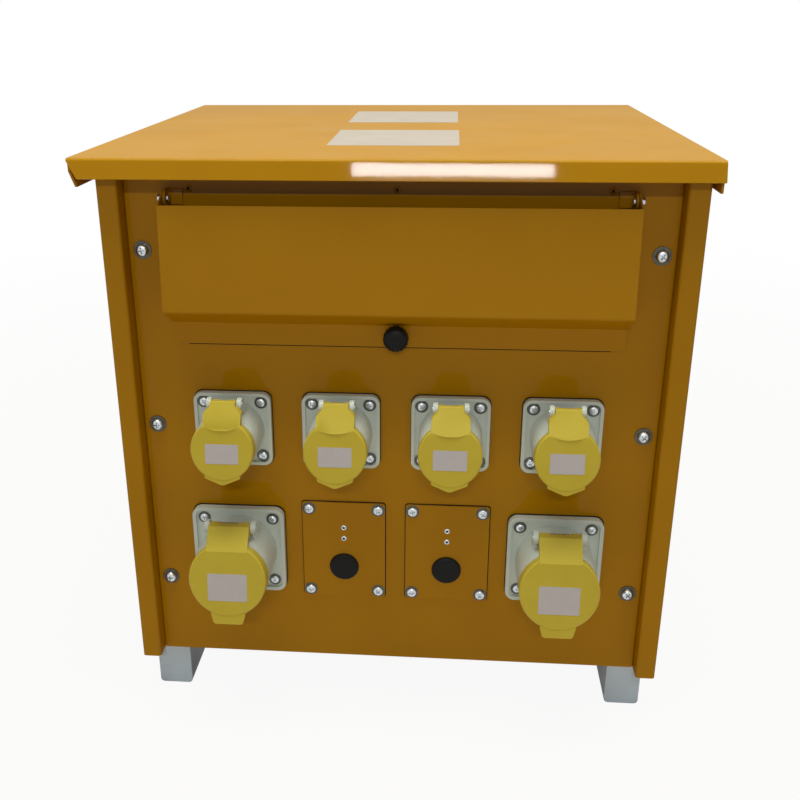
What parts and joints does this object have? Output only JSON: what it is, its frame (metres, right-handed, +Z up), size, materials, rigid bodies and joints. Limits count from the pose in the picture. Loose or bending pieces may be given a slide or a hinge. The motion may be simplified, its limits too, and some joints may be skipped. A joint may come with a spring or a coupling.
{
  "type": "portable site transformer",
  "caption": "Portable low-voltage site transformer: folded steel cabinet on runners, breaker flap, sprung-lid panel sockets and covered provisions.",
  "frame": {"origin": "middle of the footprint of the whole model, on the floor under the runners", "axes": "+Z up, +Y to the back, so the socket panel faces -Y, and +X to the right seen from the front"},
  "size_m": [0.525, 0.5546, 0.532],
  "materials": {
    "golden_paint": "semi-gloss golden yellow powder coat",
    "skid_grey": "pale grey paint",
    "cap_grey": "pale grey moulding",
    "socket_grey": "pale grey moulding",
    "socket_yellow": "yellow moulding",
    "zinc": "bright zinc plate",
    "black_plastic": "black moulding",
    "rubber": "black rubber",
    "brass": "turned brass",
    "breaker_grey": "light grey moulding",
    "lamination": "varnished laminations",
    "winding": "varnished winding wrap"
  },
  "bodies": {
    "root": {"cabinet_shell": "golden_paint", "base_tray": "golden_paint", "base_screws": "zinc", "front_panel": "golden_paint", "panel_screws": "zinc", "panel_washers": "zinc", "panel_nuts": "zinc", "lid": "golden_paint", "lid_nuts": "zinc", "skid_right": "skid_grey", "skid_left": "skid_grey", "skid_end_caps": "cap_grey", "skid_bolts": "zinc", "flap_hinge_lugs": "golden_paint", "flap_hinge_rivets": "zinc", "breaker_bodies": "breaker_grey", "din_rail": "zinc", "breaker_bracket": "zinc", "bracket_rivets": "golden_paint", "cover_plate_left": "golden_paint", "cover_plate_right": "golden_paint", "cover_plate_screws": "zinc", "cover_plate_rivets": "zinc", "blanking_plugs": "black_plastic", "socket_16a_1_housing": "socket_grey", "socket_16a_2_housing": "socket_grey", "socket_16a_3_housing": "socket_grey", "socket_16a_4_housing": "socket_grey", "socket_32a_1_housing": "socket_grey", "socket_32a_2_housing": "socket_grey", "socket_carriers": "socket_yellow", "socket_contacts": "brass", "socket_gaskets": "rubber", "socket_screws": "zinc", "socket_hinge_pins": "zinc", "socket_lid_springs": "zinc", "cable_gland": "black_plastic", "gland_locknut": "black_plastic", "transformer_core": "lamination", "transformer_windings": "winding", "core_clamps": "zinc", "core_bolts": "zinc", "terminal_block": "breaker_grey", "earth_stud": "brass"},
    "flap": {"flap": "golden_paint"},
    "knob": {"flap_knob": "black_plastic", "knob_stud": "zinc"},
    "socket_16a_1_lid": {"socket_16a_1_lid": "socket_yellow"},
    "socket_16a_2_lid": {"socket_16a_2_lid": "socket_yellow"},
    "socket_16a_3_lid": {"socket_16a_3_lid": "socket_yellow"},
    "socket_16a_4_lid": {"socket_16a_4_lid": "socket_yellow"},
    "socket_32a_1_lid": {"socket_32a_1_lid": "socket_yellow"},
    "socket_32a_2_lid": {"socket_32a_2_lid": "socket_yellow"},
    "breaker_toggle_1": {"breaker_toggle_1": "black_plastic"},
    "breaker_toggle_2": {"breaker_toggle_2": "black_plastic"},
    "breaker_toggle_3": {"breaker_toggle_3": "black_plastic"},
    "breaker_toggle_4": {"breaker_toggle_4": "black_plastic"},
    "breaker_toggle_5": {"breaker_toggle_5": "black_plastic"},
    "breaker_toggle_6": {"breaker_toggle_6": "black_plastic"},
    "breaker_toggle_7": {"breaker_toggle_7": "black_plastic"}
  },
  "joints": [
    {"name": "socket_16a_1_lid_hinge", "type": "hinge", "parent": "root", "child": "socket_16a_1_lid", "pos_m": [-0.14195, -0.24066, 0.3238], "axis": [-1, 0, 0], "range_deg": [0, 105], "stiffness_Nm_per_rad": 0.03, "springref_deg": -57.3},
    {"name": "socket_16a_2_lid_hinge", "type": "hinge", "parent": "root", "child": "socket_16a_2_lid", "pos_m": [-0.04365, -0.24066, 0.3238], "axis": [-1, 0, 0], "range_deg": [0, 105], "stiffness_Nm_per_rad": 0.03, "springref_deg": -57.3},
    {"name": "socket_16a_3_lid_hinge", "type": "hinge", "parent": "root", "child": "socket_16a_3_lid", "pos_m": [0.05465, -0.24066, 0.3238], "axis": [-1, 0, 0], "range_deg": [0, 105], "stiffness_Nm_per_rad": 0.03, "springref_deg": -57.3},
    {"name": "socket_16a_4_lid_hinge", "type": "hinge", "parent": "root", "child": "socket_16a_4_lid", "pos_m": [0.15295, -0.24066, 0.3238], "axis": [-1, 0, 0], "range_deg": [0, 105], "stiffness_Nm_per_rad": 0.03, "springref_deg": -57.3},
    {"name": "socket_32a_1_lid_hinge", "type": "hinge", "parent": "root", "child": "socket_32a_1_lid", "pos_m": [-0.1425, -0.24466, 0.2053], "axis": [-1, 0, 0], "range_deg": [0, 105], "stiffness_Nm_per_rad": 0.03, "springref_deg": -57.3},
    {"name": "socket_32a_2_lid_hinge", "type": "hinge", "parent": "root", "child": "socket_32a_2_lid", "pos_m": [0.1535, -0.24466, 0.2053], "axis": [-1, 0, 0], "range_deg": [0, 105], "stiffness_Nm_per_rad": 0.03, "springref_deg": -57.3},
    {"name": "flap_hinge", "type": "hinge", "parent": "root", "child": "flap", "pos_m": [0.0055, -0.21366, 0.497], "axis": [-1, 0, 0], "range_deg": [0, 80]},
    {"name": "knob_turn", "type": "hinge", "parent": "flap", "child": "knob", "pos_m": [0.0055, -0.20566, 0.378], "axis": [0, 1, 0], "continuous": true},
    {"name": "breaker_toggle_1_throw", "type": "hinge", "parent": "root", "child": "breaker_toggle_1", "pos_m": [-0.0995, -0.19866, 0.445], "axis": [1, 0, 0], "range_deg": [0, 80]},
    {"name": "breaker_toggle_2_throw", "type": "hinge", "parent": "root", "child": "breaker_toggle_2", "pos_m": [-0.0645, -0.19866, 0.445], "axis": [1, 0, 0], "range_deg": [0, 80]},
    {"name": "breaker_toggle_3_throw", "type": "hinge", "parent": "root", "child": "breaker_toggle_3", "pos_m": [-0.0295, -0.19866, 0.445], "axis": [1, 0, 0], "range_deg": [0, 80]},
    {"name": "breaker_toggle_4_throw", "type": "hinge", "parent": "root", "child": "breaker_toggle_4", "pos_m": [0.0055, -0.19866, 0.445], "axis": [1, 0, 0], "range_deg": [0, 80]},
    {"name": "breaker_toggle_5_throw", "type": "hinge", "parent": "root", "child": "breaker_toggle_5", "pos_m": [0.0405, -0.19866, 0.445], "axis": [1, 0, 0], "range_deg": [0, 80]},
    {"name": "breaker_toggle_6_throw", "type": "hinge", "parent": "root", "child": "breaker_toggle_6", "pos_m": [0.0755, -0.19866, 0.445], "axis": [1, 0, 0], "range_deg": [0, 80]},
    {"name": "breaker_toggle_7_throw", "type": "hinge", "parent": "root", "child": "breaker_toggle_7", "pos_m": [0.1105, -0.19866, 0.445], "axis": [1, 0, 0], "range_deg": [0, 80]}
  ]
}
